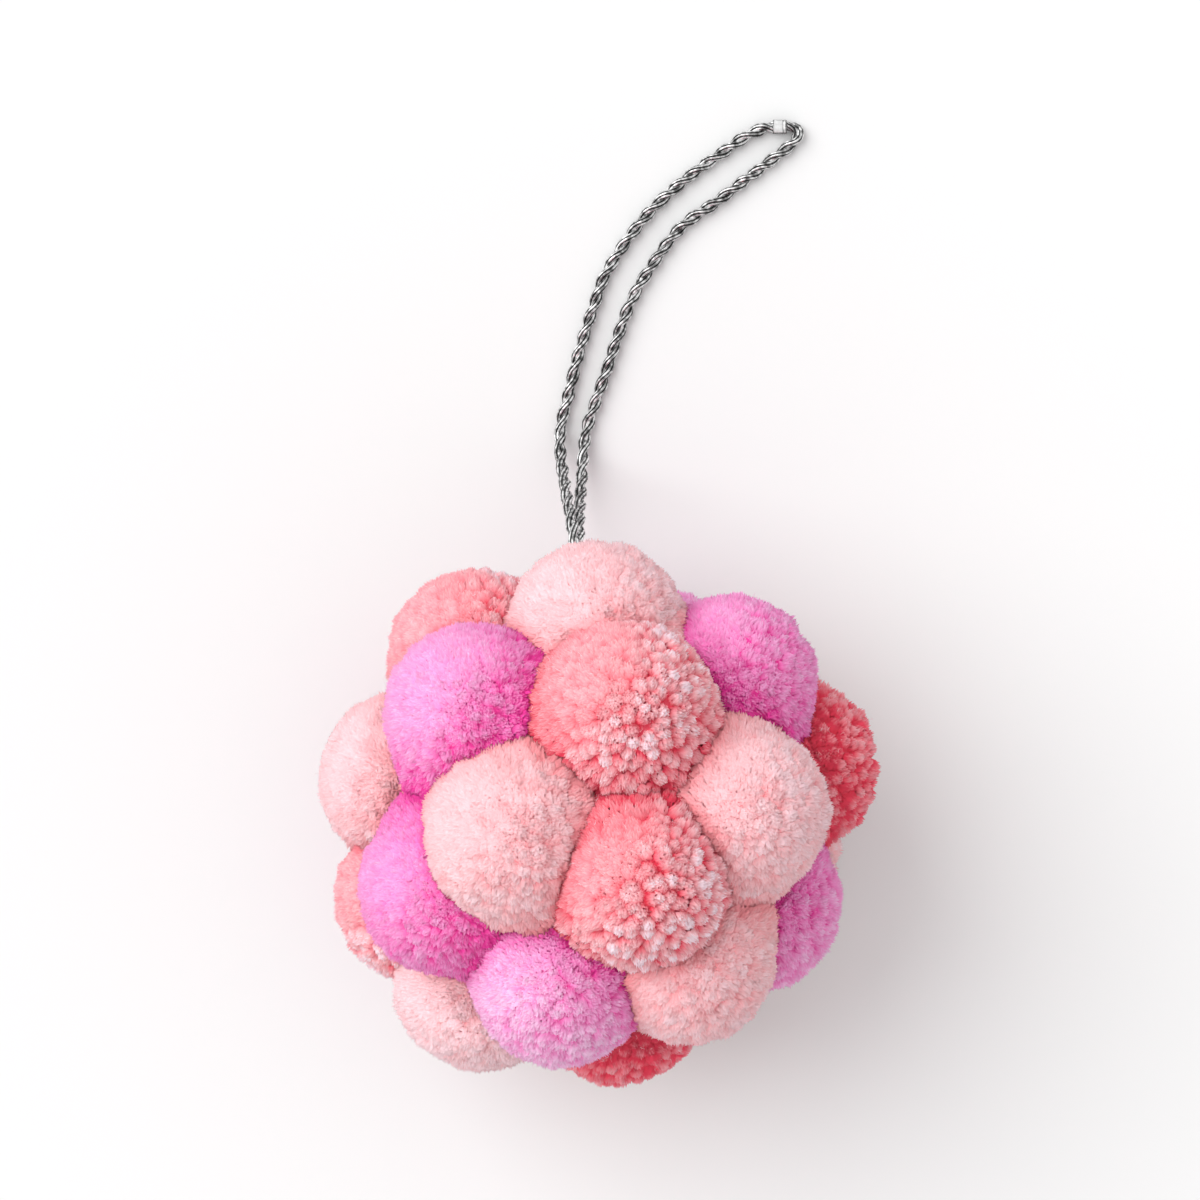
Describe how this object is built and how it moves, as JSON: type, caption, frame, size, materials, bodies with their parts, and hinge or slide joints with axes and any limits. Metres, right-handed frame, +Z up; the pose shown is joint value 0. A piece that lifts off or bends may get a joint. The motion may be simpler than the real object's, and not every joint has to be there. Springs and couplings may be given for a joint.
{
  "type": "pompom ball ornament with a hanging loop",
  "caption": "Ball ornament covered with dense cut-yarn pompoms in three colours, with a hanging loop of silver twisted cord.",
  "frame": {"origin": "under the middle of the ball, on the surface that it lies on", "axes": "+Z up from the surface; +Y towards the hanging loop; +X to the right as seen from above"},
  "size_m": [0.1012, 0.1784, 0.0957],
  "materials": {
    "pale_yarn": "soft matte cut pile, pale blush",
    "coral_yarn": "soft matte cut pile, coral",
    "orchid_yarn": "soft matte cut pile, orchid pink",
    "silver_cord": "shiny silver metallic twisted cord",
    "silver_join": "bright satin sleeve"
  },
  "bodies": {
    "root": {"pompom_01": "pale_yarn", "pompom_02": "coral_yarn", "pompom_03": "orchid_yarn", "pompom_04": "coral_yarn", "pompom_05": "orchid_yarn", "pompom_06": "pale_yarn", "pompom_07": "pale_yarn", "pompom_08": "pale_yarn", "pompom_09": "coral_yarn", "pompom_10": "coral_yarn", "pompom_11": "orchid_yarn", "pompom_12": "coral_yarn", "pompom_13": "pale_yarn", "pompom_14": "orchid_yarn", "pompom_15": "pale_yarn", "pompom_16": "orchid_yarn", "pompom_17": "coral_yarn", "pompom_18": "orchid_yarn", "pompom_19": "pale_yarn", "pompom_20": "coral_yarn", "pompom_21": "orchid_yarn", "pompom_22": "pale_yarn", "pompom_23": "coral_yarn", "pompom_24": "pale_yarn", "pompom_25": "pale_yarn", "pompom_26": "orchid_yarn", "cord_left_leg": "silver_cord", "cord_right_leg": "silver_cord", "cord_join": "silver_join"}
  },
  "joints": []
}
